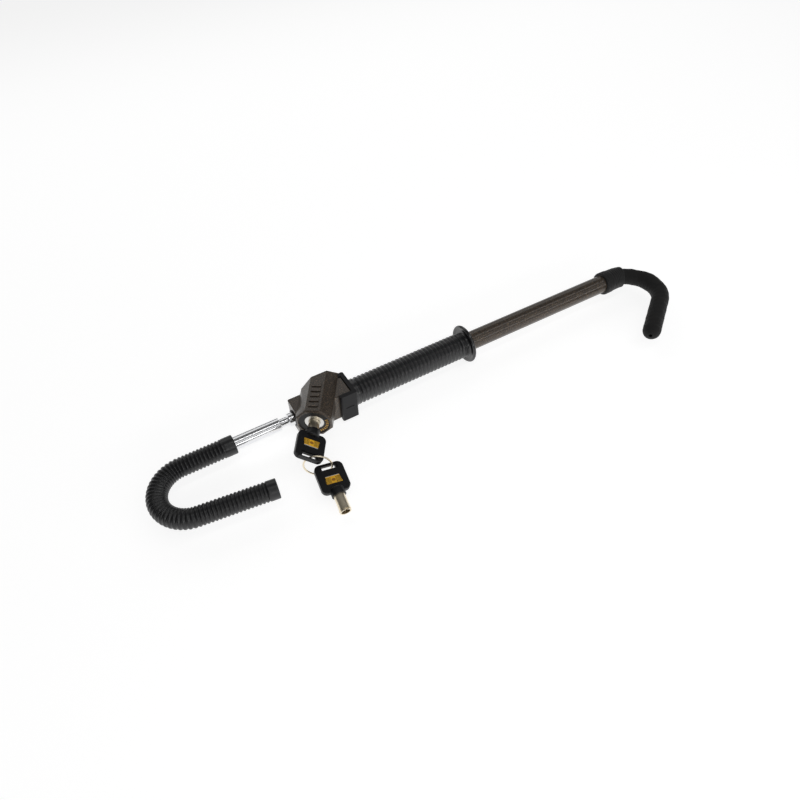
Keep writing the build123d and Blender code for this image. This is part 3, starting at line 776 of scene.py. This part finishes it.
# %% Label print and plates
def label_print():
    f = Finish("label_print", Coat_Weight=0.3, Coat_Roughness=0.2)
    across, down, _ = f.xyz(f.node("ShaderNodeUVMap", {"uv_map": "print"}).out(0))
    lines = ((down * 7.0).fract() > 0.52) * 1.0
    wings = (((across - 0.5) * (across - 0.5)) > 0.022) * ((down > 0.16) * (down < 0.97))
    stripe = lines * wings
    centre = (((across - 0.5) * (across - 0.5) * 2.2 + (down - 0.56) * (down - 0.56)) < 0.035) * 1.0
    rule = (down < 0.08) * 1.0
    yellow = f.mix(f.noise(900.0), tone(0.98, 0.56, 0.02), tone(0.92, 0.46, 0.015))
    color = f.mix(stripe, yellow, tone(0.04, 0.02, 0.005))
    color = f.mix(centre * 0.75, color, tone(0.16, 0.03, 0.01))
    color = f.mix(rule, color, tone(0.55, 0.54, 0.5))
    return f.paint(color, 0.34 + f.noise(500.0) * 0.1).material


def label_plate(name, axes, body, node):
    """A printed plate with slanted ends, in a key's own axes."""
    half, length, top = 7.3 * MM, 3.7 * MM, BOW_HALF + 0.12 * MM
    base = BOW_HALF - 0.42 * MM
    work = bmesh.new()
    uv = work.loops.layers.uv.new("print")
    corners = [(-half * 0.86, -1), (half * 0.86, -1), (half, 1), (-half, 1)]
    upper = [work.verts.new(axes.at(x, top, LABEL_AT - side * length)) for x, side in corners]
    lower = [work.verts.new(axes.at(x, base, LABEL_AT - side * length)) for x, side in corners]
    work.faces.new(upper)
    work.faces.new(lower[::-1])
    for k in range(4):
        n = (k + 1) % 4
        work.faces.new((upper[k], lower[k], lower[n], upper[n]))
    for f in work.faces:
        for loop in f.loops:
            p = loop.vert.co - axes.at(0, 0, LABEL_AT)
            loop[uv].uv = (0.5 + p.dot(axes.x) / (2 * half), 0.5 - p.dot(axes.z) / (2 * length))
    bmesh.ops.bevel(work, geom=work.edges[:], offset=0.15 * MM, segments=2, affect="EDGES", profile=0.5)
    bmesh.ops.recalc_face_normals(work, faces=work.faces)
    mesh = bpy.data.meshes.new(name)
    work.to_mesh(mesh)
    work.free()
    add_piece(name, mesh, body, (node,), printed)


printed = label_print()
label_plate("printed_label", key, "key", "key_label")
label_plate("spare_printed_label", spare, "spare_key", "spare_key_label")

# %% Two-turn split ring
def ring_axes():
    """Centre and plane of the ring: square to the wire where it crosses the key's slot."""
    swing = joint("ring_swing")
    wire = Vector(swing["axis"]).normalized()
    inward = wire.cross(key.z).normalized()
    centre = Vector(swing["pos_m"]) + inward * 12.4 * MM
    return Axes(centre, inward, inward.cross(wire))


def split_ring():
    at = ring_axes()
    wire_r, turns, steps = 0.46 * MM, 2, 96
    points = []
    for k in range(turns * steps + 1):
        a = 2 * math.pi * k / steps
        lift = (k / (turns * steps) - 0.5) * 2 * wire_r * 0.92
        points.append(at.at(12.4 * MM * math.cos(a), 12.4 * MM * math.sin(a), lift))
    work = bmesh.new()
    rings = []
    for k, p in enumerate(points):
        a = 2 * math.pi * k / steps
        out = at.x * math.cos(a) + at.y * math.sin(a)
        end = 0.6 if k in (0, len(points) - 1) else 1.0
        rings.append([
            work.verts.new(p + (out * math.cos(b) * 0.78 * MM + at.z * math.sin(b) * wire_r) * end)
            for b in (2 * math.pi * j / 14 for j in range(14))
        ])
    for here, there in zip(rings, rings[1:]):
        for j in range(14):
            n = (j + 1) % 14
            work.faces.new((here[j], here[n], there[n], there[j]))
    work.faces.new(rings[0])
    work.faces.new(rings[-1])
    mesh = bpy.data.meshes.new("split_ring_wire")
    work.to_mesh(mesh)
    work.free()
    return outward(mesh, 60.0)


add_piece("split_ring_wire", split_ring(), "ring", ("split_ring",), nickel)

# %% [markdown]
# ## Marks on the dial
# The black ring round the lock face carries a row of ochre marks between three and six
# o'clock. They are the same bar again and again round an arc, which is a job for instances:
# points on an arc, one small bar on each, turned to face the centre.

# %% Dial marks
def dial_tree():
    tree = bpy.data.node_groups.new("dial_marks", "GeometryNodeTree")
    face = tree.interface
    face.new_socket("Bar", in_out="INPUT", socket_type="NodeSocketGeometry")
    for label in ("Arc radius", "First angle", "Sweep"):
        face.new_socket(label, in_out="INPUT", socket_type="NodeSocketFloat")
    face.new_socket("Marks", in_out="INPUT", socket_type="NodeSocketInt")
    face.new_socket("Finish", in_out="INPUT", socket_type="NodeSocketMaterial")
    face.new_socket("Dial", in_out="OUTPUT", socket_type="NodeSocketGeometry")
    g = Graph(tree)
    given = g.node("NodeGroupInput")
    dots = g.node("GeometryNodePoints", None, {"Count": given.out("Marks")}).out(0)
    index = g.node("GeometryNodeInputIndex").out(0)
    angle = given.out("First angle") + given.out("Sweep") * index / (given.out("Marks") - 1.0)
    spin = g.node("ShaderNodeCombineXYZ", None, {2: angle}).out(0)
    x = angle.cos() * given.out("Arc radius")
    y = angle.math("SINE", angle) * given.out("Arc radius")
    spot = g.node("ShaderNodeCombineXYZ", None, {0: x, 1: y}).out(0)
    put = g.node("GeometryNodeSetPosition", None, {"Geometry": dots, "Position": spot}).out(0)
    inputs = {"Points": put, "Instance": given.out("Bar"), "Rotation": spin}
    bars = g.node("GeometryNodeInstanceOnPoints", None, inputs).out(0)
    real = g.node("GeometryNodeRealizeInstances", None, {0: bars}).out(0)
    done = g.node("GeometryNodeSetMaterial", None, {"Geometry": real, "Material": given.out("Finish")}).out(0)
    g.node("NodeGroupOutput", None, {0: done})
    return tree


def ochre():
    f = Finish("ochre_mark")
    color = f.mix(f.noise(700.0), tone(0.72, 0.40, 0.04), tone(0.50, 0.26, 0.03))
    return f.paint(color, 0.42 + f.noise(900.0) * 0.12).material


def mark_bar():
    """One raised mark: a wedge, wider towards the rim."""
    work = bmesh.new()
    outline = [(-1.35, -0.42), (1.35, -0.62), (1.35, 0.62), (-1.35, 0.42)]
    low = [work.verts.new((x * MM, y * MM, -0.1 * MM)) for x, y in outline]
    high = [work.verts.new((x * MM * 0.9, y * MM * 0.8, 0.16 * MM)) for x, y in outline]
    work.faces.new(low[::-1])
    work.faces.new(high)
    for k in range(4):
        n = (k + 1) % 4
        work.faces.new((low[k], low[n], high[n], high[k]))
    mesh = bpy.data.meshes.new("bar")
    work.to_mesh(mesh)
    work.free()
    made = bpy.data.objects.new("bar", mesh)
    bpy.context.collection.objects.link(made)
    return made


marks = run_tree(dial_tree(), mark_bar(), {
    "Arc radius": 11.6 * MM, "First angle": math.radians(18), "Sweep": math.radians(-118),
    "Marks": 11, "Finish": ochre(),
}, "dial_marks")
dial_top = 26.6 * MM
place = Matrix((
    (barrel.x.x, barrel.y.x, barrel.z.x, 0), (barrel.x.y, barrel.y.y, barrel.z.y, 0),
    (barrel.x.z, barrel.y.z, barrel.z.z, 0), (0, 0, 0, 1),
))
marks.transform(Matrix.Translation(barrel.at(0, 0, dial_top)) @ place)
add_piece("dial_marks", outward(marks, 20.0), "head")
